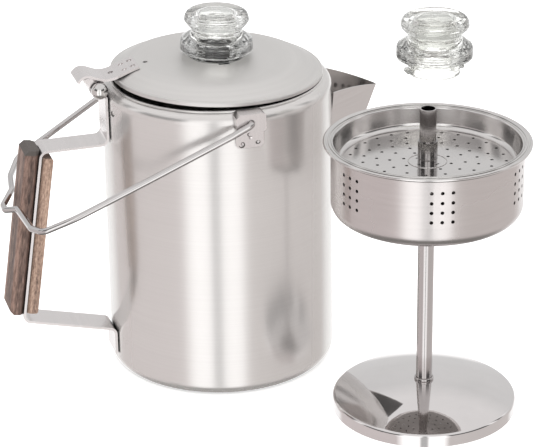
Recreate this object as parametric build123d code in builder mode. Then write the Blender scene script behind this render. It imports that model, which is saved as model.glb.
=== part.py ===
"""Camping coffee percolator: pot with hinged lid, glass knob, bail and strap handle,
and its pump, basket and spreader plate standing beside it, with a spare knob above them.
Millimetres, +Z up.
The origin is at the middle of the pot's bottom; the handle points to -X, the spout to +X."""
import math
import os

from build123d import *

os.makedirs("parts", exist_ok=True)

# Pot shell
POT_R = 72.0
SHEET = 0.9
FOOT_R = 6.9
SHOULDER_Z = 181.8
SHOULDER_R = 6.75
SHOULDER_SWEEP = 82.0
BEAD_R = 1.1
BEAD_AT = (65.7, 188.3)
STRAINER_D = 3.0
STRAINER_ROWS = 8
STRAINER_PITCH = 6.5

# Spout
SPOUT_TIP = (106.5, 169.5)
SPOUT_APEX_Z = 82.0
SPOUT_ROOT_Z = 177.6
SPOUT_ROOT_Y = 23.9
SPOUT_RAKE = 0.373
SPOUT_SHEET = 0.9
NOSE_R = 2.6

# Bail and its ears
BAIL_Z = 184.2
WIRE_R = 2.0
BAIL_TILT = 25.5
EAR_W = 18.4
EAR_H = 11.6
EAR_FACE_Y = 77.0
EAR_SHEET = 1.2
EAR_BACK_Y = 67.6
EAR_LOW_Z = 178.4
EAR_CUT = 3.2

# Strap handle
STRAP_W = 20.0
STRAP_T = 1.6
LEG_X = -(POT_R + 0.1 + STRAP_T / 2)
STRAP_TOP = (-115.2, 154.4)
STRAP_LOW = (-131.8, 41.8)
STRAP_LOW_Z = 27.2
STRAP_END_Z = 10.0
EYE_R = 4.5
EYE_Z = 191.0
EYE_X = LEG_X - EYE_R
EYE_HALF_W = 7.0

# Wooden grips
OUTER_T = 9.0
INNER_T = 7.4
GRIP_CHAMFER = 2.2
OUTER_END_CHAMFER = 2.8
INNER_END_CHAMFER = 1.0
DOWEL_R = 2.0
DOWEL_FIT = 0.02
DOWEL_HALF = 5.6
DOWEL_AT = (0.17, 0.83)

# Hinge pin
PIN_R = 3.5
HEAD_R = 5.2
HEAD_FACE_Y = EYE_HALF_W + 3.4
LUG_IN = 7.5
LUG_T = 1.5

# Lid, tilted a little because its hinge holds it off the bead
LID_Z = 192.4
LID_TILT = 1.5
LID_R = 66.3
LID_SHEET = 0.8
CROWN = 9.3
KNOB_HOLE_R = 15.8
VENT_R = 1.5
VENT_X = -45.6
LEVER_T = 1.6

# Insert: pump, basket and spreader
INSERT_AT = (97.3, -116.6)
BASE_R = 56.7
BASE_H = 8.15
TUBE_R = 5.0
TUBE_TOP = 196.4
TUBE_BORE = 4.2
SLEEVE_FIT = 5.1
SLEEVE_OUT_R = 5.97
COLLAR_OUT_R = 6.15
COLLAR_H = 26.0
SLEEVE_H = 13.9
BASKET_R = 57.8
BASKET_SHEET = 0.7
BASKET_LOW = 130.1
BASKET_RIM = 175.0
BASKET_FLANGE_R = 59.8
PLATE_Z = 162.8
PLATE_FLOOR_R = 54.3
PLATE_WALL_R = 56.45
PLATE_SHEET = 0.6
PLATE_RIM = 176.0
PLATE_BEAD_R = 1.1
PLATE_BEAD_AT = (61.3, 175.6)

# Spare knob, held clear above the insert's tube
SPARE_KNOB_AT = (101.8, -113.5, 223.6)

# Perforations
WALL_HOLE_D = 2.2
GROUP_TURN = 18.3
HOLE_ROWS = (147.8, 153.8, 159.8, 166.0)
PLATE_HOLE_D = 2.0
PLATE_HOLES = ((14.5, 8), (22.5, 12), (30.5, 18), (38.5, 24), (47.0, 28))

lid_plane = Plane(
    origin=(0, 0, LID_Z),
    x_dir=(math.cos(math.radians(LID_TILT)), 0, -math.sin(math.radians(LID_TILT))),
    z_dir=(math.sin(math.radians(LID_TILT)), 0, math.cos(math.radians(LID_TILT))),
)
lid_section = Plane(origin=lid_plane.origin, x_dir=lid_plane.x_dir, z_dir=(0, -1, 0))
lid_axis = Axis(lid_plane.origin, lid_plane.z_dir)
insert_section = Plane(origin=(*INSERT_AT, 0), x_dir=(1, 0, 0), z_dir=(0, -1, 0))
insert_axis = Axis((*INSERT_AT, 0), (0, 0, 1))


def finish(part, name):
    """Label one finished piece and write it."""
    part.label = name
    export_step(part, f"parts/{name}.step")


def insert_plane(height):
    """A level plane on the insert's own axis."""
    return Plane(origin=(*INSERT_AT, height))


# Pot shell: one drawn sheet with a rolled bead at its mouth
turn_in = math.radians(SHOULDER_SWEEP)
shoulder_x = POT_R - SHOULDER_R
lip_out = (shoulder_x + SHOULDER_R * math.cos(turn_in), SHOULDER_Z + SHOULDER_R * math.sin(turn_in))
inner_r = SHOULDER_R - SHEET
lip_in = (shoulder_x + inner_r * math.cos(turn_in), SHOULDER_Z + inner_r * math.sin(turn_in))
inner_foot = FOOT_R - SHEET
with BuildPart() as pot_shell:
    with BuildSketch(Plane.XZ):
        with BuildLine():
            Line((0, 0), (POT_R - FOOT_R, 0))
            RadiusArc((POT_R - FOOT_R, 0), (POT_R, FOOT_R), -FOOT_R)
            Line((POT_R, FOOT_R), (POT_R, SHOULDER_Z))
            RadiusArc((POT_R, SHOULDER_Z), lip_out, -SHOULDER_R)
            Line(lip_out, lip_in)
            RadiusArc(lip_in, (POT_R - SHEET, SHOULDER_Z), inner_r)
            Line((POT_R - SHEET, SHOULDER_Z), (POT_R - SHEET, FOOT_R))
            RadiusArc((POT_R - SHEET, FOOT_R), (POT_R - FOOT_R, SHEET), inner_foot)
            Polyline((POT_R - FOOT_R, SHEET), (0, SHEET), (0, 0))
        make_face()
        with Locations(BEAD_AT):
            Circle(BEAD_R)
    revolve(axis=Axis.Z)
    for row in range(STRAINER_ROWS):
        height = 122 + row * STRAINER_PITCH
        count = 3 + row // 2
        for column in range(count):
            turn = (column - (count - 1) / 2) * 5.2
            hole_place = Location((0, 0, height), (0, 0, turn)) * Location((POT_R, 0, 0), (0, 90, 0))
            with Locations(hole_place):
                Cylinder(STRAINER_D / 2, 8, mode=Mode.SUBTRACT)
finish(pot_shell.part, "pot_shell")

# The pot's outside, used only to fit other pieces against it
with BuildPart() as pot_outside:
    with BuildSketch(Plane.XZ):
        with BuildLine():
            Polyline((0, 189), (0, -5), (POT_R + 0.05, -5), (POT_R + 0.05, SHOULDER_Z))
            RadiusArc((POT_R + 0.05, SHOULDER_Z), (lip_out[0], lip_out[1] + 0.05), -SHOULDER_R - 0.05)
            Line((lip_out[0], lip_out[1] + 0.05), (0, 189))
        make_face()
    revolve(axis=Axis.Z)


# Spout: a folded V trough, open at the top and against the strainer
def spout_section(height, inset):
    """One level outline of the spout: two flat sides and a rounded nose."""
    nose = SPOUT_TIP[0] - (SPOUT_TIP[1] - height) * SPOUT_RAKE - inset
    half = SPOUT_ROOT_Y * (height - SPOUT_APEX_Z) / (SPOUT_ROOT_Z - SPOUT_APEX_Z) + 3.4 - inset
    radius = NOSE_R - inset
    back = POT_R - 4.1
    with BuildSketch(Plane.XY.offset(height), mode=Mode.PRIVATE) as section:
        with BuildLine():
            FilletPolyline((back, half), (nose + 1.0, 0), (back, -half), radius=radius)
            Line((back, -half), (back, half))
        make_face()
    return section.sketch


top_z = SPOUT_ROOT_Z + 6
low_z = SPOUT_APEX_Z + 2
rim_root = (POT_R - 6, SPOUT_ROOT_Z + 0.4)
rim_tip = (SPOUT_TIP[0] + 1, SPOUT_TIP[1] - 0.2)
spout_solid = loft([spout_section(low_z, 0), spout_section(top_z, 0)], ruled=True)
spout_hollow = loft(
    [spout_section(low_z + 2.5, SPOUT_SHEET), spout_section(top_z + 1, SPOUT_SHEET)], ruled=True
)
with BuildPart() as spout:
    add(spout_solid)
    add(spout_hollow, mode=Mode.SUBTRACT)
    add(pot_outside.part, mode=Mode.SUBTRACT)
    with BuildSketch(Plane.XZ):
        with BuildLine():
            ThreePointArc(rim_root, (87, 175.4), rim_tip)
            Polyline(
                rim_tip, (rim_tip[0] + 12, rim_tip[1]), (rim_tip[0] + 12, 200),
                (POT_R - 6, 200), rim_root,
            )
        make_face()
    extrude(amount=40, both=True, mode=Mode.SUBTRACT)
finish(spout.part, "spout")


# Ears: a raised box that the bail turns in, and a tab welded to the wall below it
def make_ear(side, name):
    """One ear on the wall at y = side * POT_R."""
    middle = EAR_LOW_Z + EAR_H / 2
    back_plane = Plane.XZ.offset(-side * EAR_BACK_Y)
    with BuildPart() as ear:
        with BuildSketch(back_plane):
            with Locations((0, middle)):
                RectangleRounded(EAR_W, EAR_H, 2.2)
        extrude(amount=-side * (EAR_FACE_Y - EAR_BACK_Y))
        with Locations(Location((-EAR_W / 2, side * EAR_FACE_Y, EAR_LOW_Z + EAR_H), (0, 45, 0))):
            Box(EAR_CUT, 30, 3 * EAR_CUT, mode=Mode.SUBTRACT)
        with BuildSketch(back_plane):
            with Locations((0, middle)):
                Rectangle(EAR_W - 2 * EAR_SHEET, EAR_H - 2 * EAR_SHEET)
        extrude(amount=-side * (EAR_FACE_Y - EAR_SHEET - EAR_BACK_Y), mode=Mode.SUBTRACT)
        with BuildSketch(back_plane):
            with Locations((0, EAR_LOW_Z - 4.8)):
                RectangleRounded(17.2, 12.4, 3)
        extrude(amount=-side * (POT_R + 1.1 - EAR_BACK_Y))
        with BuildSketch(back_plane):
            with Locations((0, BAIL_Z)):
                Circle(WIRE_R + 0.15)
        extrude(amount=-side * 30, mode=Mode.SUBTRACT)
        add(pot_outside.part, mode=Mode.SUBTRACT)
        for spot in ((-4.6, 170.2), (0.4, 173.6), (4.6, 170.2)):
            with Locations((spot[0], side * (POT_R + 2.6), spot[1])):
                Sphere(1.9, mode=Mode.SUBTRACT)
    finish(ear.part, name)


make_ear(-1, "ear_near")
make_ear(1, "ear_far")

# Where the grips and their dowels lie along the strap's outer run
strap_corner = Vector(STRAP_TOP[0], 0, STRAP_TOP[1])
run = Vector(STRAP_LOW[0], 0, STRAP_LOW[1]) - strap_corner
grip_length = run.length
run_dir = run.normalized()
out_dir = Vector(run_dir.Z, 0, -run_dir.X)
grip_plane = Plane(origin=strap_corner, x_dir=out_dir, z_dir=run_dir)
dowel_places = []
for fraction in DOWEL_AT:
    middle = strap_corner + run_dir * (grip_length * fraction)
    dowel_places.append(Plane(origin=middle, x_dir=(0, 1, 0), z_dir=out_dir).location)

# Handle strap: one bent strip, rolled at its top into the hinge eye
with BuildPart() as handle_strap:
    with BuildSketch(Plane.XZ):
        with BuildLine():
            CenterArc((EYE_X, EYE_Z), EYE_R, 0, 285)
            FilletPolyline(
                (LEG_X, EYE_Z), (LEG_X, STRAP_TOP[1]), STRAP_TOP, STRAP_LOW,
                (LEG_X, STRAP_LOW_Z), (LEG_X, STRAP_END_Z), radius=4.5,
            )
        trace(line_width=STRAP_T)
    extrude(amount=STRAP_W / 2, both=True)
    for side in (-1, 1):
        with Locations((EYE_X, side * (EYE_HALF_W + 5), EYE_Z + 1)):
            Box(20, 10, 14, mode=Mode.SUBTRACT)
    with Locations(*dowel_places):
        Cylinder(DOWEL_R + DOWEL_FIT, 12, mode=Mode.SUBTRACT)
finish(handle_strap.part, "handle_strap")


# Grips: two chamfered wooden slabs with the strap between them, on hidden dowels
def make_grip(start, stop, near, far, outward, end_chamfer):
    """A slab from start to stop down the strap, between near and far off its middle."""
    outer_face_axis = Axis(strap_corner, out_dir * outward)
    with BuildPart() as grip:
        with BuildSketch(grip_plane.offset(start)) as outline:
            with Locations((outward * (near + far) / 2, 0)):
                Rectangle(far - near, STRAP_W)
            chamfer(outline.vertices().group_by(outer_face_axis)[-1], GRIP_CHAMFER)
        extrude(amount=stop - start)
        ends = grip.faces().sort_by(Axis(strap_corner, run_dir))
        for end in (ends[0], ends[-1]):
            chamfer(end.edges().sort_by(outer_face_axis)[-1], end_chamfer)
        with Locations(*dowel_places):
            Cylinder(DOWEL_R + DOWEL_FIT, 2 * DOWEL_HALF + 0.1, mode=Mode.SUBTRACT)
    return grip.part


grip_gap = STRAP_T / 2 + 0.05
outer_far = grip_gap + OUTER_T
inner_far = grip_gap + INNER_T
finish(make_grip(-1.0, grip_length - 4.5, grip_gap, outer_far, 1, OUTER_END_CHAMFER), "grip_outer")
finish(make_grip(4.0, grip_length - 5.5, grip_gap, inner_far, -1, INNER_END_CHAMFER), "grip_inner")

with BuildPart() as grip_dowels:
    with Locations(*dowel_places):
        Cylinder(DOWEL_R, 2 * DOWEL_HALF)
finish(grip_dowels.part, "grip_dowels")

# Hinge pin with a ball head, and the matching ball on its far end
with BuildPart() as hinge_pin:
    with Locations((EYE_X, -HEAD_FACE_Y - 1.6, EYE_Z)):
        Sphere(HEAD_R)
    with Locations((EYE_X, -HEAD_FACE_Y + 5, EYE_Z)):
        Box(2 * HEAD_R, 10, 2 * HEAD_R, mode=Mode.SUBTRACT)
    with BuildSketch(Plane.XZ.offset(-HEAD_FACE_Y)):
        with Locations((EYE_X, EYE_Z)):
            Circle(PIN_R)
    extrude(amount=2 * HEAD_FACE_Y)
finish(hinge_pin.part, "hinge_pin")

with BuildPart() as hinge_pin_cap:
    with Locations((EYE_X, HEAD_FACE_Y + 1.6, EYE_Z)):
        Sphere(HEAD_R)
    with Locations((EYE_X, HEAD_FACE_Y - 5, EYE_Z)):
        Box(2 * HEAD_R, 10, 2 * HEAD_R, mode=Mode.SUBTRACT)
finish(hinge_pin_cap.part, "hinge_pin_cap")


# Lid dome: a broad flat crown with an ogee down to a short upright edge
sheet_r = LID_R - LID_SHEET / 2
sheet_top = CROWN - LID_SHEET / 2
dome_line = [
    (sheet_r, -0.9), (sheet_r, 1.5), (64.4, 1.5), (54.4, 7.1),
    (42.0, sheet_top - 0.15), (KNOB_HOLE_R, sheet_top),
]
with BuildPart() as lid_dome:
    with BuildSketch(lid_section):
        with BuildLine():
            FilletPolyline(*dome_line, radius=[0.7, 1.0, 23.0, 80.0])
        trace(line_width=LID_SHEET)
    revolve(axis=lid_axis)
    for turn in (90, 270):
        notch_turn = Location((0, 0, CROWN), (0, 0, turn))
        with Locations(lid_plane.location * notch_turn * Location((KNOB_HOLE_R, 0, 0))):
            Box(6, 7, 10, mode=Mode.SUBTRACT)
    with Locations(lid_plane.location * Location((VENT_X, 0, CROWN))):
        Cylinder(VENT_R, 12, mode=Mode.SUBTRACT)
finish(lid_dome.part, "lid_dome")

# Lever: a strip welded on the dome that runs out over the hinge, with two lugs on the pin
lever_curve = [
    (-51.5, 202.5), (-58.5, 200.3), (-65.5, 197.7), (-71.2, 196.6), (-77.0, 197.7),
    (-85.8, 199.9), (-90.0, 196.6),
]
lug_outline = [(-87.0, 198.2), (-81.5, 191.5), (-76.5, 187.5), (-73.8, 192.5), (-78.5, 194.6), (-81.5, 199.0)]
with BuildPart() as lid_lever:
    with BuildSketch(Plane.XZ):
        with BuildLine():
            Spline(*lever_curve, tangents=((-1, -0.28), (-0.7, -1)))
        trace(line_width=LEVER_T)
    extrude(amount=STRAP_W / 2, both=True)
    for side in (-1, 1):
        with BuildSketch(Plane.XZ.offset(-side * LUG_IN)):
            with BuildLine():
                Polyline(*lug_outline, close=True)
            make_face()
            with Locations((EYE_X, EYE_Z)):
                Circle(PIN_R + 1.4)
                Circle(PIN_R + 0.08, mode=Mode.SUBTRACT)
        extrude(amount=-side * LUG_T)
    with Locations((-67.6, 0, 196.5)):
        Cylinder(1.6, 12, mode=Mode.SUBTRACT)
    for along in (-54.5, -60.0):
        for across in (-5.0, 5.0):
            with Locations((along, across, 203.2 + 0.3 * (along + 51.5))):
                Sphere(1.7, mode=Mode.SUBTRACT)
finish(lid_lever.part, "lid_lever")

# Knobs: pressed glass, hollow, resting on a shoulder, with two lugs that turn under the lid
knob_neck = [(12.4, -6.0), (15.4, -6.0), (15.4, 0), (17.1, 0), (17.1, 3.4), (20.8, 3.4)]
knob_outside = [
    (20.8, 3.4), (22.6, 3.9), (22.4, 11.3), (14.5, 16.2), (20.3, 22.8), (19.3, 28.8), (0, 28.8),
]
knob_inside = [(0, 25.0), (15.6, 24.8), (10.6, 16.4), (14.8, 9.5), (12.4, 1.5), (12.4, -6.0)]


def make_knob(seat, name):
    """A glass knob whose shoulder rests on the seat plane."""
    with BuildPart() as knob:
        with BuildSketch(Plane(origin=seat.origin, x_dir=seat.x_dir, z_dir=-seat.y_dir)):
            with BuildLine():
                Polyline(*knob_neck)
                FilletPolyline(*knob_outside, radius=[0.9, 3.2, 2.0, 2.6, 4.2])
                Line((0, 28.8), (0, 25.0))
                FilletPolyline(*knob_inside, radius=[3.5, 3.0, 4.0, 3.0])
            make_face()
        revolve(axis=Axis(seat.origin, seat.z_dir))
        for turn in (0, 180):
            with Locations(seat.location * Location((0, 0, -3.3), (0, 0, turn)) * Location((16.2, 0, 0))):
                Box(3.4, 6, 2.6)
    finish(knob.part, name)


make_knob(lid_plane.offset(CROWN + 0.1), "glass_knob")
make_knob(Plane(origin=SPARE_KNOB_AT), "spare_knob")


# Bail: one bent wire, drawn flat in its own plane and leaning on the outer grip
def bail_point(reach, across):
    """A point of the bail's plane, from how far it reaches out of the pivot and its Y."""
    tilt = math.radians(BAIL_TILT)
    return (-reach * math.cos(tilt), across, BAIL_Z - reach * math.sin(tilt))


near_route = [
    (0, -73.9), (0, -79.6), (13, -79.4), (70, -73.4), (119, -67.4), (139.8, -60.8),
    (145.0, -48.0), (146.9, -14.2),
]
far_route = [
    (0, 73.9), (0, 79.6), (34, 78.6), (95, 62.7), (131.6, 53.2), (141.4, 34.0), (144.5, 15.0),
]
crossbar_v = [(153.9, -6.2), (153.9, 1.2)]
route = [bail_point(*spot) for spot in near_route + crossbar_v + far_route[::-1]]
near_bends = [2.3, 40, 90, 60, 7.5, 10, 4.0]
far_bends = [2.3, 26, 60, 9, 16, 4.0]
bends = near_bends + [2.6, 2.6] + far_bends[::-1]
with BuildPart() as bail_wire:
    with BuildLine() as wire_path:
        FilletPolyline(*route, radius=bends)
    with BuildSketch(wire_path.line ^ 0):
        Circle(WIRE_R)
    sweep_path = wire_path.line
    sweep(path=sweep_path)
    for side in (-1, 1):
        with BuildSketch(Plane.XZ.offset(-side * 72.9)):
            with Locations((0, BAIL_Z)):
                Circle(WIRE_R + 1.3)
        extrude(amount=-side * 1.2)
finish(bail_wire.part, "bail_wire")


# Insert: the pump's flared base, its tube and the bead that joins them
base_in = BASE_R - BASKET_SHEET
with BuildPart() as pump_base:
    with BuildSketch(insert_section):
        with BuildLine():
            Line((TUBE_R + 0.02, 17.4), (6.5, 17.35))
            ThreePointArc((6.5, 17.35), (30.9, 14.58), (BASE_R - 2.1, BASE_H))
            ThreePointArc((BASE_R - 2.1, BASE_H), (BASE_R - 0.6, BASE_H - 0.9), (BASE_R, BASE_H - 2.4))
            Polyline((BASE_R, BASE_H - 2.4), (BASE_R, 0), (base_in, 0), (base_in, BASE_H - 2.4))
            ThreePointArc(
                (base_in, BASE_H - 2.4), (base_in - 0.5, BASE_H - 1.3), (base_in - 1.7, BASE_H - 0.6)
            )
            ThreePointArc((base_in - 1.7, BASE_H - 0.6), (30.6, 13.86), (6.5, 16.65))
            Polyline((6.5, 16.65), (TUBE_R + 0.02, 16.7), (TUBE_R + 0.02, 17.4))
        make_face()
    revolve(axis=insert_axis)
    for turn in (44, 74, 104):
        notch_turn = Location((0, 0, 0), (0, 0, turn))
        with Locations(insert_plane(0).location * notch_turn * Location((BASE_R, 0, 0))):
            Box(6, 6, 3, mode=Mode.SUBTRACT)
finish(pump_base.part, "pump_base")

with BuildPart() as pump_tube:
    with BuildSketch(insert_plane(2.0)):
        Circle(TUBE_R)
        Circle(TUBE_BORE, mode=Mode.SUBTRACT)
    extrude(amount=TUBE_TOP - 2.0)
finish(pump_tube.part, "pump_tube")

with BuildPart() as tube_bead:
    with BuildSketch(insert_section):
        with Locations((TUBE_R + 0.5, 18.3)):
            RectangleRounded(0.96, 1.7, 0.4)
    revolve(axis=insert_axis)
finish(tube_bead.part, "tube_bead")

with BuildPart() as basket_stop:
    with BuildSketch(insert_section):
        with Locations((TUBE_R + 0.62, 126.2)):
            RectangleRounded(1.2, 4.0, 0.5)
    revolve(axis=insert_axis)
finish(basket_stop.part, "basket_stop")

# Basket: a drawn bowl with a flat flange, side holes in groups and rings of holes below
inner_wall = BASKET_R - BASKET_SHEET
bowl_corner = 8.0
bowl_hole_r = COLLAR_OUT_R + 0.05
with BuildPart() as basket_bowl:
    with BuildSketch(insert_section):
        with BuildLine():
            Line((bowl_hole_r, BASKET_LOW), (BASKET_R - bowl_corner, BASKET_LOW))
            RadiusArc(
                (BASKET_R - bowl_corner, BASKET_LOW), (BASKET_R, BASKET_LOW + bowl_corner), -bowl_corner
            )
            Polyline(
                (BASKET_R, BASKET_LOW + bowl_corner), (BASKET_R, BASKET_RIM - BASKET_SHEET),
                (BASKET_FLANGE_R, BASKET_RIM - BASKET_SHEET), (BASKET_FLANGE_R, BASKET_RIM),
                (inner_wall, BASKET_RIM), (inner_wall, BASKET_LOW + bowl_corner),
            )
            RadiusArc(
                (inner_wall, BASKET_LOW + bowl_corner), (BASKET_R - bowl_corner, BASKET_LOW + BASKET_SHEET),
                bowl_corner - BASKET_SHEET,
            )
            Polyline(
                (BASKET_R - bowl_corner, BASKET_LOW + BASKET_SHEET),
                (bowl_hole_r, BASKET_LOW + BASKET_SHEET),
                (bowl_hole_r, BASKET_LOW),
            )
        make_face()
    revolve(axis=insert_axis)
    for group in range(6):
        for column in (-1, 0, 1):
            turn = GROUP_TURN + group * 60 + column * 6.25
            around = insert_plane(0).location * Location((0, 0, 0), (0, 0, turn))
            for height in HOLE_ROWS:
                with Locations(around * Location((BASKET_R, 0, height), (0, 90, 0))):
                    Cylinder(WALL_HOLE_D / 2, 6, mode=Mode.SUBTRACT)
    with BuildSketch(insert_plane(BASKET_LOW - 1)):
        for ring, count in ((14, 8), (23, 14), (32, 20), (41, 26)):
            with PolarLocations(ring, count):
                Circle(WALL_HOLE_D / 2)
    extrude(amount=3, mode=Mode.SUBTRACT)
finish(basket_bowl.part, "basket_bowl")

with BuildPart() as basket_collar:
    with BuildSketch(insert_plane(BASKET_LOW)):
        Circle(COLLAR_OUT_R)
        Circle(SLEEVE_FIT, mode=Mode.SUBTRACT)
    extrude(amount=COLLAR_H)
finish(basket_collar.part, "basket_collar")

# Spreader: a perforated pan with a rolled edge that hangs over the basket's flange
plate_mid = PLATE_Z - PLATE_SHEET / 2
pan_line = [
    (SLEEVE_OUT_R, plate_mid), (PLATE_FLOOR_R, plate_mid), (PLATE_WALL_R, PLATE_RIM - PLATE_SHEET / 2),
    (PLATE_BEAD_AT[0] - 0.6, PLATE_RIM),
]
with BuildPart() as spreader_plate:
    with BuildSketch(insert_section):
        with BuildLine():
            FilletPolyline(*pan_line, radius=[4.0, 1.0])
        trace(line_width=PLATE_SHEET)
        with Locations(PLATE_BEAD_AT):
            Circle(PLATE_BEAD_R)
    revolve(axis=insert_axis)
    with BuildSketch(insert_plane(PLATE_Z - 2)):
        for ring, count in PLATE_HOLES:
            with PolarLocations(ring, count, start_angle=ring * 7):
                Circle(PLATE_HOLE_D / 2)
        with PolarLocations(7.6, 4, start_angle=30):
            SlotOverall(3.4, 0.9, rotation=90)
    extrude(amount=4, mode=Mode.SUBTRACT)
finish(spreader_plate.part, "spreader_plate")

with BuildPart() as spreader_sleeve:
    with BuildSketch(insert_plane(PLATE_Z - PLATE_SHEET)):
        Circle(SLEEVE_OUT_R - 0.02)
        Circle(SLEEVE_FIT, mode=Mode.SUBTRACT)
    extrude(amount=SLEEVE_H)
finish(spreader_sleeve.part, "spreader_sleeve")
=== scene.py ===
"""Looks of the camping percolator: studio, camera, materials and the detailed pieces.
Everything is in metres in the CAD frame: +Z up, the spout towards +X, the handle towards -X."""
import math

import bmesh
import bpy
from mathutils import Matrix, Vector


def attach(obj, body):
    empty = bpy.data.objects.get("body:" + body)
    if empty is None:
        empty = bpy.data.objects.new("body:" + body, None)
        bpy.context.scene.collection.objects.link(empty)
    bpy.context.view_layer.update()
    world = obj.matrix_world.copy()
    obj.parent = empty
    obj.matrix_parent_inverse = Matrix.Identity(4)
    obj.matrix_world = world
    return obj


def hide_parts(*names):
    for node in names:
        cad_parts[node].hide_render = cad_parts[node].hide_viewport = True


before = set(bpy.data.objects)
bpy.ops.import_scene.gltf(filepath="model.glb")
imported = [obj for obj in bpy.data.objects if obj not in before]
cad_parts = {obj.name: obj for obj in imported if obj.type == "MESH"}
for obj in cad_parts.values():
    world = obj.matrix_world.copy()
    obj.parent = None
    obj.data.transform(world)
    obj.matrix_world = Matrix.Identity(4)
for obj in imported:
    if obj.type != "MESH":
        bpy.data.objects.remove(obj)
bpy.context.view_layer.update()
scene = bpy.context.scene

# Camera, as an orbit round a point a little right of the pot's axis
CAMERA_AZIMUTH = math.radians(-16.5)
CAMERA_ELEVATION = math.radians(23.72)
CAMERA_DISTANCE = 1.5168
CAMERA_ROLL = -0.0134
CAMERA_LENS = 159.7
CAMERA_TARGET = Vector((0.02877, -0.00852, 0.08621))


def camera_axes():
    """Right, up and back of the camera, before its roll."""
    right = Vector((math.cos(CAMERA_AZIMUTH), math.sin(CAMERA_AZIMUTH), 0))
    back = Vector((
        math.sin(CAMERA_AZIMUTH) * math.cos(CAMERA_ELEVATION),
        -math.cos(CAMERA_AZIMUTH) * math.cos(CAMERA_ELEVATION),
        math.sin(CAMERA_ELEVATION),
    ))
    return right, back.cross(right), back


def add_camera():
    """The one camera, long-lensed and slightly rolled."""
    right, up, back = camera_axes()
    rolled_right = right * math.cos(CAMERA_ROLL) + up * math.sin(CAMERA_ROLL)
    rolled_up = up * math.cos(CAMERA_ROLL) - right * math.sin(CAMERA_ROLL)
    data = bpy.data.cameras.new("camera")
    data.lens = CAMERA_LENS
    data.sensor_width = 36
    data.sensor_fit = "HORIZONTAL"
    data.clip_start = 0.05
    data.clip_end = 20
    camera = bpy.data.objects.new("camera", data)
    scene.collection.objects.link(camera)
    place = Matrix((rolled_right, rolled_up, back)).transposed().to_4x4()
    place.translation = CAMERA_TARGET + back * CAMERA_DISTANCE
    camera.matrix_world = place
    scene.camera = camera


# Node helpers
def new_tree(material_name):
    """A material, its tree and the principled shader that its output shows."""
    material = bpy.data.materials.new(material_name)
    material.use_nodes = True
    tree = material.node_tree
    tree.nodes.clear()
    output = tree.nodes.new("ShaderNodeOutputMaterial")
    shader = tree.nodes.new("ShaderNodeBsdfPrincipled")
    tree.links.new(shader.outputs[0], output.inputs[0])
    return material, tree, shader


def node(tree, kind, **values):
    """A new node with its properties and input defaults set."""
    made = tree.nodes.new(kind)
    for name, value in values.items():
        if name in made.inputs:
            made.inputs[name].default_value = value
        else:
            setattr(made, name, value)
    return made


def ramp(tree, stops, source):
    """A colour ramp over grey levels or colours, fed from a socket."""
    made = tree.nodes.new("ShaderNodeValToRGB")
    elements = made.color_ramp.elements
    while len(elements) < len(stops):
        elements.new(0.5)
    for element, (place, value) in zip(elements, stops):
        element.position = place
        element.color = (*value, 1) if isinstance(value, tuple) else (value, value, value, 1)
    tree.links.new(source, made.inputs[0])
    return made.outputs[0]


def stretched_noise(tree, stretch, detail=4.0, roughness=0.55, shift=0.0, lean=0.0):
    """Noise in object space, stretched by a scale for each axis; returns its value socket."""
    coordinates = tree.nodes.new("ShaderNodeTexCoord")
    turned = node(tree, "ShaderNodeVectorRotate", rotation_type="Y_AXIS", Angle=lean)
    mapping = tree.nodes.new("ShaderNodeMapping")
    mapping.inputs["Location"].default_value = (shift, shift, shift)
    mapping.inputs["Scale"].default_value = stretch
    noise = node(tree, "ShaderNodeTexNoise", Scale=1.0, Detail=detail, Roughness=roughness)
    tree.links.new(coordinates.outputs["Object"], turned.inputs["Vector"])
    tree.links.new(turned.outputs[0], mapping.inputs["Vector"])
    tree.links.new(mapping.outputs[0], noise.inputs["Vector"])
    return noise.outputs["Fac"]


def painted_crevice_shade(tree, colour, reach, depth):
    """Painted shade: darkens a colour where surfaces meet within the reach, standing in for the shadow in
    creases and gaps.
    """
    closeness = node(tree, "ShaderNodeAmbientOcclusion", samples=8, Distance=reach)
    shade = ramp(tree, [(0.25, depth), (0.8, 1.0)], closeness.outputs["AO"])
    made = node(tree, "ShaderNodeMix", data_type="RGBA", blend_type="MULTIPLY", Factor=1.0)
    tree.links.new(colour, made.inputs["A"])
    tree.links.new(shade, made.inputs["B"])
    return made.outputs["Result"]


def bump(tree, shader, height, distance, strength=1.0):
    """Feeds a height socket to the shader's normal."""
    made = node(tree, "ShaderNodeBump", Strength=strength, Distance=distance)
    tree.links.new(height, made.inputs["Height"])
    tree.links.new(made.outputs[0], shader.inputs["Normal"])


# Studio
FLOOR_WHITE = 0.93
FLOOR_GLOW = 0.55


def add_floor():
    """A wide pale floor just under the object, lit a little from within like a light table."""
    mesh = bpy.data.meshes.new("floor")
    made = bmesh.new()
    bmesh.ops.create_grid(made, x_segments=8, y_segments=8, size=6)
    made.to_mesh(mesh)
    made.free()
    floor = bpy.data.objects.new("floor", mesh)
    scene.collection.objects.link(floor)
    floor.location.z = -0.0002
    material, tree, shader = new_tree("floor_paper")
    shader.inputs["Base Color"].default_value = (FLOOR_WHITE, FLOOR_WHITE, FLOOR_WHITE, 1)
    shader.inputs["Roughness"].default_value = 0.9
    shader.inputs["Emission Color"].default_value = (1, 1, 1, 1)
    shader.inputs["Emission Strength"].default_value = FLOOR_GLOW
    floor.data.materials.append(material)
    floor.visible_glossy = False


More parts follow.
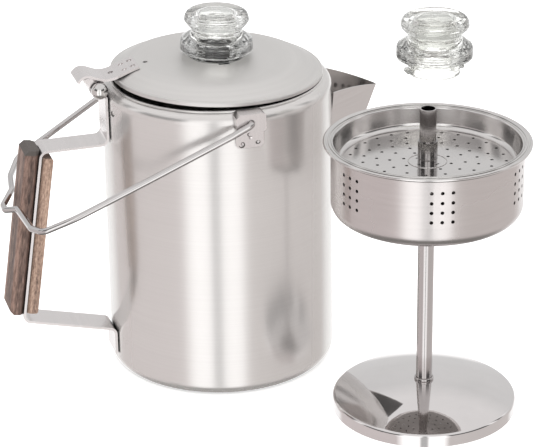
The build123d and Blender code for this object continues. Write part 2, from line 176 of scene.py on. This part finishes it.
# Brightness of the studio round the object: angle from the camera, towards its right, in degrees.
# Upright walls mirror the lower bands, gentle slopes the level ones, rims and hollows the upper.
WARM_GREY = (0.775, 0.715, 0.71)
COOL_GREY = (0.755, 0.715, 0.70)
LOWER_BANDS = (
    (-180, 1.25), (-138, 1.2), (-128, WARM_GREY), (-38, WARM_GREY), (-27, 1.62), (-9, 1.62),
    (-6, 0.62), (1, 0.62), (4, 1.6), (21, 1.6), (30, COOL_GREY), (128, COOL_GREY), (140, 1.2),
    (180, 1.25),
)
LEVEL_BANDS = (
    (-180, 0.78), (-120, 0.78), (-100, WARM_GREY), (-38, WARM_GREY), (-27, 1.62), (-9, 1.62),
    (-6, 0.62), (1, 0.62), (4, 1.6), (21, 1.6), (30, COOL_GREY), (100, COOL_GREY), (120, 0.78),
    (180, 0.78),
)
UPPER_BANDS = (
    (-180, 0.8), (-140, 0.74), (-130, 0.9), (-118, 0.9), (-112, 0.2), (-100, 0.2), (-97, 1.2),
    (-88, 1.2), (-82, 0.14), (-34, 0.12), (-28, 1.45), (-6, 1.45), (-3, 0.5), (0, 0.5), (3, 1.45),
    (24, 1.45), (30, 0.12), (82, 0.12), (88, 1.2), (97, 1.2), (100, 0.2), (108, 0.2), (112, 1.2),
    (120, 0.95), (130, 0.8), (180, 0.8),
)
BELOW = (0.14, 0.135, 0.13, 1)
OVERHEAD = (0.465, 0.46, 0.46, 1)


def studio_ring(tree, bands, place_round):
    """One ring of the studio as a ramp over the angle round the object."""
    stops = []
    for angle, value in bands:
        tone = value if isinstance(value, tuple) else (value, value, value)
        stops.append((angle / 360 + 0.5, tuple(channel / 2 for channel in tone)))
    return ramp(tree, stops, place_round)


def blend(tree, factor, first, second):
    """A colour mix of two sockets or fixed colours."""
    made = node(tree, "ShaderNodeMix", data_type="RGBA")
    tree.links.new(factor, made.inputs["Factor"])
    tree.links.new(first, made.inputs["A"])
    if isinstance(second, tuple):
        made.inputs["B"].default_value = second
    else:
        tree.links.new(second, made.inputs["B"])
    return made.outputs["Result"]


def add_world():
    """The studio: upright bright panels and grey gaps round the object, and a soft light top."""
    world = bpy.data.worlds.new("studio")
    scene.world = world
    world.use_nodes = True
    tree = world.node_tree
    tree.nodes.clear()
    output = tree.nodes.new("ShaderNodeOutputWorld")
    background = tree.nodes.new("ShaderNodeBackground")
    tree.links.new(background.outputs[0], output.inputs[0])
    direction = tree.nodes.new("ShaderNodeTexCoord").outputs["Generated"]
    right, _, back = camera_axes()
    level_back = Vector((back.x, back.y, 0)).normalized()
    across = node(tree, "ShaderNodeVectorMath", operation="DOT_PRODUCT")
    across.inputs[1].default_value = right
    toward = node(tree, "ShaderNodeVectorMath", operation="DOT_PRODUCT")
    toward.inputs[1].default_value = level_back
    tree.links.new(direction, across.inputs[0])
    tree.links.new(direction, toward.inputs[0])
    angle = node(tree, "ShaderNodeMath", operation="ARCTAN2")
    tree.links.new(across.outputs["Value"], angle.inputs[0])
    tree.links.new(toward.outputs["Value"], angle.inputs[1])
    part = node(tree, "ShaderNodeMath", operation="MULTIPLY_ADD")
    part.inputs[1].default_value = 0.5 / math.pi
    part.inputs[2].default_value = 0.5
    tree.links.new(angle.outputs[0], part.inputs[0])
    lower = studio_ring(tree, LOWER_BANDS, part.outputs[0])
    level = studio_ring(tree, LEVEL_BANDS, part.outputs[0])
    upper = studio_ring(tree, UPPER_BANDS, part.outputs[0])
    split = tree.nodes.new("ShaderNodeSeparateXYZ")
    tree.links.new(direction, split.inputs[0])
    lift = node(tree, "ShaderNodeMath", operation="MULTIPLY_ADD")
    lift.inputs[1].default_value = 0.5
    lift.inputs[2].default_value = 0.5
    tree.links.new(split.outputs["Z"], lift.inputs[0])
    start = ramp(tree, [(0.44, 0.0), (0.49, 1.0)], lift.outputs[0])
    rise = ramp(tree, [(0.60, 0.0), (0.64, 1.0)], lift.outputs[0])
    sky = ramp(tree, [(0.76, 0.0), (0.84, 1.0)], lift.outputs[0])
    drop = ramp(tree, [(0.10, 1.0), (0.19, 0.0)], lift.outputs[0])
    rings = blend(tree, rise, blend(tree, start, lower, level), upper)
    walls = blend(tree, drop, rings, BELOW)
    tree.links.new(blend(tree, sky, walls, OVERHEAD), background.inputs["Color"])
    background.inputs["Strength"].default_value = 2.0


def add_light(name, place, target, size, power):
    """A soft square light that points at the target."""
    data = bpy.data.lights.new(name, "AREA")
    data.size = size
    data.energy = power
    light = bpy.data.objects.new(name, data)
    scene.collection.objects.link(light)
    light.location = place
    light.rotation_euler = (Vector(target) - Vector(place)).to_track_quat("-Z", "Y").to_euler()
    light.visible_glossy = False


# Materials
def brushed_steel(name, colour, roughness, grain=(6, 6, 900), metallic=1.0, crevice_shade_reach=0.0):
    """Steel with fine grain lines, stretched along the low-scale axes, and painted shade in its crevices
    when a reach is given.
    """
    material, tree, shader = new_tree(name)
    lines = stretched_noise(tree, grain, detail=3)
    patches = stretched_noise(tree, (18, 18, 18), detail=3)
    low = tuple(value * 0.94 for value in colour)
    tint = ramp(tree, [(0.25, low), (0.75, colour)], lines)
    # Painted shade: darkens the steel's colour where it meets other parts.
    if crevice_shade_reach:
        tint = painted_crevice_shade(tree, tint, crevice_shade_reach, 0.25)
    tree.links.new(tint, shader.inputs["Base Color"])
    spread = ramp(tree, [(0.3, roughness * 0.85), (0.7, roughness * 1.15)], patches)
    tree.links.new(spread, shader.inputs["Roughness"])
    shader.inputs["Metallic"].default_value = metallic
    bump(tree, shader, lines, 0.00001)
    return material


def add_pot_steel():
    """The pot's satin finish: ring-brushed, with painted shade where other parts come close."""
    material, tree, shader = new_tree("satin_pot_steel")
    lines = stretched_noise(tree, (5, 5, 1400), detail=2)
    colour = ramp(tree, [(0.25, (0.655, 0.635, 0.62)), (0.75, (0.69, 0.67, 0.655))], lines)
    # Painted shade: the pot's colour darkens round the ears, the hinge and the lid's rim.
    tree.links.new(painted_crevice_shade(tree, colour, 0.0022, 0.2), shader.inputs["Base Color"])
    patches = stretched_noise(tree, (14, 14, 9), detail=3)
    tree.links.new(ramp(tree, [(0.3, 0.2), (0.7, 0.225)], patches), shader.inputs["Roughness"])
    shader.inputs["Metallic"].default_value = 0.72
    bump(tree, shader, lines, 0.000003)
    return material


def add_glass(name, tint):
    """Clear pressed glass with slight waves in its surface."""
    material, tree, shader = new_tree(name)
    shader.inputs["Base Color"].default_value = tint
    shader.inputs["Roughness"].default_value = 0.015
    shader.inputs["IOR"].default_value = 1.52
    shader.inputs["Transmission Weight"].default_value = 1
    waves = stretched_noise(tree, (110, 110, 480), detail=3)
    bump(tree, shader, waves, 0.0004, 0.6)
    return material


# The grips lean this many degrees from upright, and run down along this direction
GRIP_LEAN = -8.39
GRIP_RUN = (-0.1459, 0, -0.9893)
# Painted shade on the grips' upper ends: its dark grey, and how sharply it starts
GRIP_TOP_SHADE_GREY = (0.085, 0.073, 0.066, 1)
END_SHARPNESS = 200


def painted_grip_top_shade(tree, colour, start, grey):
    """Painted shade: greys a colour over the first millimetres below the grip's upper end, where the
    grip's top lies in shadow.
    """
    coordinates = tree.nodes.new("ShaderNodeTexCoord")
    along = node(tree, "ShaderNodeVectorMath", operation="DOT_PRODUCT")
    along.inputs[1].default_value = GRIP_RUN
    tree.links.new(coordinates.outputs["Object"], along.inputs[0])
    depth = node(tree, "ShaderNodeMath", operation="MULTIPLY_ADD")
    depth.inputs[1].default_value = END_SHARPNESS
    depth.inputs[2].default_value = -END_SHARPNESS * start
    tree.links.new(along.outputs["Value"], depth.inputs[0])
    return blend(tree, ramp(tree, [(0.42, 1.0), (0.58, 0.0)], depth.outputs[0]), colour, grey)


def add_wood(name, dark, mid, light, shift, streak, start):
    """Hardwood with broad bands, fine streaks down the grip and short dark pores, and painted shade at
    its upper end and where it meets other parts.
    """
    material, tree, shader = new_tree(name)
    lean = math.radians(GRIP_LEAN)
    bands = stretched_noise(tree, (240, 160, 9), detail=4, shift=shift, lean=lean)
    pores = (1100, 900, streak)
    fine = stretched_noise(tree, pores, detail=5, roughness=0.65, shift=shift, lean=lean)
    both = node(tree, "ShaderNodeMath", operation="ADD")
    tree.links.new(bands, both.inputs[0])
    tree.links.new(fine, both.inputs[1])
    half = node(tree, "ShaderNodeMath", operation="MULTIPLY")
    half.inputs[1].default_value = 0.5
    tree.links.new(both.outputs[0], half.inputs[0])
    colour = ramp(tree, [(0.38, dark), (0.49, mid), (0.6, light)], half.outputs[0])
    # Painted shade: the grip's upper end turns dark grey.
    colour = painted_grip_top_shade(tree, colour, start, GRIP_TOP_SHADE_GREY)
    # Painted shade: the wood darkens where it meets the strap and the other grip.
    tree.links.new(painted_crevice_shade(tree, colour, 0.002, 0.3), shader.inputs["Base Color"])
    tree.links.new(ramp(tree, [(0.3, 0.7), (0.7, 0.5)], fine), shader.inputs["Roughness"])
    bump(tree, shader, fine, 0.0003, 0.7)
    return material


STEEL = (0.70, 0.685, 0.67)
MIRROR = (0.74, 0.715, 0.71)
materials = {
    "pot": add_pot_steel(),
    # Painted shade: the reach given to the lid, bright, spout and strap steels darkens them where they
    # meet other parts.
    "lid": brushed_steel("lid_steel", STEEL, 0.46, metallic=0.85, crevice_shade_reach=0.0015),
    "bright": brushed_steel("bright_steel", STEEL, 0.10, grain=(40, 40, 40), crevice_shade_reach=0.0012),
    "mirror": brushed_steel("mirror_steel", MIRROR, 0.035, grain=(40, 40, 40)),
    "basket": brushed_steel("basket_steel", (0.67, 0.635, 0.625), 0.27, grain=(30, 30, 500)),
    "pan": brushed_steel("pan_steel", (0.70, 0.68, 0.67), 0.16, grain=(60, 60, 60)),
    "spout": brushed_steel("spout_steel", (0.68, 0.655, 0.645), 0.14, grain=(30, 30, 500), crevice_shade_reach=0.002),
    "strap": brushed_steel("strap_steel", (0.77, 0.735, 0.73), 0.25, grain=(400, 8, 8), crevice_shade_reach=0.0015),
    "wire": brushed_steel("wire_steel", (0.60, 0.58, 0.575), 0.10, grain=(30, 30, 30)),
    "tube": brushed_steel("tube_metal", (0.585, 0.56, 0.555), 0.13, grain=(500, 500, 6)),
    "sleeve": brushed_steel("sleeve_metal", (0.42, 0.405, 0.40), 0.12, grain=(500, 500, 6)),
    # Painted shade: the welds' dark crescents stand for the shaded sides of real spot-weld dimples.
    "weld": brushed_steel("painted_shade_weld_metal", (0.16, 0.15, 0.145), 0.25, grain=(300, 300, 300)),
    "glass": add_glass("knob_glass", (0.91, 0.915, 0.90, 1)),
    "spare_glass": add_glass("spare_knob_glass", (0.775, 0.78, 0.755, 1)),
    "outer_wood": add_wood(
        "outer_wood", (0.048, 0.029, 0.023), (0.15, 0.092, 0.072), (0.30, 0.19, 0.15), 0.3, 170,
        -0.1363),
    "inner_wood": add_wood(
        "inner_wood", (0.11, 0.068, 0.05), (0.29, 0.19, 0.142), (0.50, 0.345, 0.26), 0.8, 380,
        -0.1347),
}
looks = {
    "pot_shell": "pot", "spout": "spout", "ear_near": "strap", "ear_far": "strap",
    "handle_strap": "strap", "grip_outer": "outer_wood", "grip_inner": "inner_wood",
    "grip_dowels": "bright", "hinge_pin": "bright", "hinge_pin_cap": "bright",
    "lid_dome": "lid", "lid_lever": "strap", "glass_knob": "glass", "spare_knob": "spare_glass",
    "bail_wire": "wire", "pump_base": "mirror", "pump_tube": "tube", "tube_bead": "tube",
    "basket_stop": "tube", "basket_bowl": "basket", "basket_collar": "tube",
    "spreader_plate": "pan", "spreader_sleeve": "sleeve",
}
for name, look in looks.items():
    cad_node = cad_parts[name]
    for cad_slot in cad_node.material_slots:
        cad_slot.material = materials[look]


# Detailed pieces
def new_object(name, made, material, body):
    """A smooth-shaded object from a bmesh, on its CAD body."""
    mesh = bpy.data.meshes.new(name)
    made.to_mesh(mesh)
    made.free()
    mesh.shade_smooth()
    mesh.materials.append(material)
    piece = bpy.data.objects.new(name, mesh)
    scene.collection.objects.link(piece)
    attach(piece, body)
    return piece


def rounded(points, radii, steps=8):
    """The line through the points with each inner corner rounded."""
    line = [Vector(points[0])]
    for before, at, after, radius in zip(points, points[1:], points[2:], radii):
        corner = Vector(at)
        back = (Vector(before) - corner).normalized()
        on = (Vector(after) - corner).normalized()
        half = back.angle(on) / 2
        centre = corner + (back + on).normalized() * radius / math.sin(half)
        start = corner + back * radius / math.tan(half) - centre
        end = corner + on * radius / math.tan(half) - centre
        line += [centre + start.slerp(end, step / steps) * radius for step in range(steps + 1)]
    return line + [Vector(points[-1])]


def resampled(line, spacing):
    """The same line with points at most a spacing apart."""
    made = [line[0]]
    for before, after in zip(line, line[1:]):
        parts = max(1, math.ceil((after - before).length / spacing))
        made += [before.lerp(after, part / parts) for part in range(1, parts + 1)]
    return made


def lathe(made, line, sides, ripple):
    """Turns a line of (radius, height) points that starts and ends on the axis."""
    rings = []
    for radius, height in line:
        if radius < 1e-6:
            rings.append([made.verts.new((0, 0, height))])
            continue
        ring = []
        for side in range(sides):
            turn = 2 * math.pi * side / sides
            reach = radius + ripple(radius, height, turn)
            point = (reach * math.cos(turn), reach * math.sin(turn), height)
            ring.append(made.verts.new(point))
        rings.append(ring)
    for first, second in zip(rings, rings[1:]):
        for side in range(sides):
            after = (side + 1) % sides
            corners = [
                first[side % len(first)], first[after % len(first)],
                second[after % len(second)], second[side % len(second)],
            ]
            distinct = list(dict.fromkeys(corners))
            if len(distinct) > 2:
                made.faces.new(distinct)


# The knob's section in millimetres: radius and height above its shoulder, with corner radii
KNOB_SIDES = 84
KNOB_SPACING = 0.45
KNOB_OUTSIDE = rounded(
    [
        (0, 28.8), (19.3, 28.8), (20.3, 22.8), (14.5, 16.2), (22.4, 11.3), (22.6, 3.9),
        (20.8, 3.4), (17.1, 3.4), (17.1, 0), (15.4, 0), (15.4, -6), (12.4, -6),
    ],
    [4.2, 2.6, 2.0, 3.2, 0.9, 0.3, 0.5, 0.4, 0.3, 0.6, 0.6],
)
KNOB_INSIDE = rounded(
    [(12.4, -5.9), (12.4, 1.5), (14.8, 9.5), (10.6, 16.4), (15.6, 24.8), (0, 25.0)],
    [3.0, 4.0, 3.0, 3.5],
)


def knob_ripple(radius, height, turn):
    """Pressed rings near the top and at the flange, and soft flutes in the hollow."""
    rings = 0.13 * math.sin(height * 4.6) if 23 < height < 28 or 5 < height < 10 else 0
    flutes = 0.1 * math.cos(14 * turn) if radius < 16 and 2 < height < 24 else 0
    return rings + flutes


def add_knob(name, node_name, body, place, look):
    """A pressed glass knob: rippled inside and out, with its two bevelled lugs."""
    made = bmesh.new()
    line = resampled(KNOB_OUTSIDE + KNOB_INSIDE, KNOB_SPACING)
    lathe(made, line, KNOB_SIDES, knob_ripple)
    for side in (1, -1):
        lug = Matrix.Translation((16.2 * side, 0, -3.3)) @ Matrix.Diagonal((3.4, 6, 2.6, 1))
        corners = bmesh.ops.create_cube(made, size=1, matrix=lug)["verts"]
        edges = list({edge for corner in corners for edge in corner.link_edges})
        bmesh.ops.bevel(made, geom=edges, offset=0.4, segments=2, affect="EDGES")
    bmesh.ops.recalc_face_normals(made, faces=made.faces)
    bmesh.ops.transform(made, matrix=place @ Matrix.Scale(0.001, 4), verts=made.verts)
    piece = new_object(name, made, materials[look], body)
    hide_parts(node_name)


# Places, as in the CAD: the tilted lid's rim, the knob's seat on its crown, and the insert's axis
LID_TILT = math.radians(1.5)
CROWN_RISE = 0.0094
lid_plane = Matrix.Translation((0, 0, 0.1924)) @ Matrix.Rotation(LID_TILT, 4, "Y")
lid_seat = lid_plane @ Matrix.Translation((0, 0, CROWN_RISE))
spare_seat = Matrix.Translation((0.1018, -0.1135, 0.2236))
insert_place = Matrix.Translation((0.0973, -0.1166, 0))
add_knob("glass_knob_detail", "glass_knob", "knob", lid_seat, "glass")
add_knob("spare_knob_detail", "spare_knob", "spare", spare_seat, "spare_glass")


WELD_SWEEP = math.radians(230)
WELD_STEPS = 18
WELD_SIDES = 8


def add_weld(name, body, place, normal, radius, gap_turn):
    """A spot weld: a small raised crescent pressed into the sheet, coloured dark as painted shade for the
    dimple's shaded side.
    """
    made = bmesh.new()
    out = Vector(normal).normalized()
    turn = out.to_track_quat("Z", "Y").to_matrix().to_4x4()
    spot = Matrix.Translation(place) @ turn @ Matrix.Rotation(math.radians(gap_turn), 4, "Z")
    rings = []
    for step in range(WELD_STEPS + 1):
        along = WELD_SWEEP * step / WELD_STEPS
        thick = radius * 0.3 * (0.25 + 0.75 * math.sin(math.pi * step / WELD_STEPS))
        heart = Vector((math.cos(along), math.sin(along), 0))
        ring = []
        for corner in range(WELD_SIDES):
            lean = 2 * math.pi * corner / WELD_SIDES
            point = heart * (radius + thick * math.cos(lean))
            point.z = thick * math.sin(lean)
            ring.append(made.verts.new(spot @ point))
        rings.append(ring)
    for first, second in zip(rings, rings[1:]):
        for corner in range(WELD_SIDES):
            after = (corner + 1) % WELD_SIDES
            made.faces.new([first[corner], first[after], second[after], second[corner]])
    made.faces.new(rings[0])
    made.faces.new(rings[-1])
    bmesh.ops.recalc_face_normals(made, faces=made.faces)
    new_object(name, made, materials["weld"], body)


# Welds on each ear: letter, place along and up, radius and the turn of the crescent's gap
EAR_FACE_Y = 0.07312
EAR_WELDS = (
    ("a", -0.0052, 0.1697, 0.0017, 200),
    ("b", 0.0052, 0.1705, 0.0011, 180),
    ("c", -0.0002, 0.1757, 0.0011, 60),
)
HINGE_WELD = (-0.0705, 0.0150, 0.1765)
for side, mark in ((-1, "near"), (1, "far")):
    for letter, along, up, radius, gap_turn in EAR_WELDS:
        spot = (along, side * EAR_FACE_Y, up)
        add_weld(f"ear_weld_{mark}_{letter}", "pot", spot, (0, side, 0), radius, gap_turn)
    spot = (HINGE_WELD[0], side * HINGE_WELD[1], HINGE_WELD[2])
    add_weld(f"hinge_weld_{mark}", "pot", spot, (-1, side * 0.2, 0), 0.0016, 120)


RING_SIDES = 144
BEAD_SIDES = 12


def add_ring(name, body, place, look, beads):
    """Rolled beads round an axis, each as radius, height and its own radius in millimetres."""
    made = bmesh.new()
    for radius, height, bead in beads:
        loops = []
        for side in range(RING_SIDES):
            turn = 2 * math.pi * side / RING_SIDES
            loop = []
            for step in range(BEAD_SIDES):
                lean = 2 * math.pi * step / BEAD_SIDES
                reach = radius + bead * math.cos(lean)
                up = height + bead * math.sin(lean)
                point = Vector((reach * math.cos(turn), reach * math.sin(turn), up))
                loop.append(made.verts.new(place @ (point / 1000)))
            loops.append(loop)
        for first, second in zip(loops, loops[1:] + loops[:1]):
            for step in range(BEAD_SIDES):
                after = (step + 1) % BEAD_SIDES
                made.faces.new([first[step], first[after], second[after], second[step]])
    bmesh.ops.recalc_face_normals(made, faces=made.faces)
    new_object(name, made, materials[look], body)


add_ring("lid_hem", "lid", lid_plane, "bright", [(65.85, -0.65, 0.45)])
PLATE_ROLLS = [(59.0, 176.25, 0.5), (57.3, 176.1, 0.4)]
PLATE_RINGS = [(51.5, 163.1, 0.45), (11.5, 162.95, 0.25)]
add_ring("plate_rim_roll", "spreader", insert_place, "bright", PLATE_ROLLS)
add_ring("plate_floor_rings", "spreader", insert_place, "pan", PLATE_RINGS)


def soften(node_name, width, segments=3):
    """Rounds a CAD node's sharp edges."""
    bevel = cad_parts[node_name].modifiers.new("soften", "BEVEL")
    bevel.width = width
    bevel.segments = segments
    bevel.limit_method = "ANGLE"
    bevel.angle_limit = math.radians(40)
    bevel.use_clamp_overlap = True


soften("grip_outer", 0.0007)
soften("grip_inner", 0.0009)
soften("ear_near", 0.0004, 2)
soften("ear_far", 0.0004, 2)


add_camera()
add_floor()
add_world()
add_light("overhead", (0.2, -0.4, 2.4), (0.05, -0.05, 0), 2.2, 30)
scene.view_settings.view_transform = "Standard"
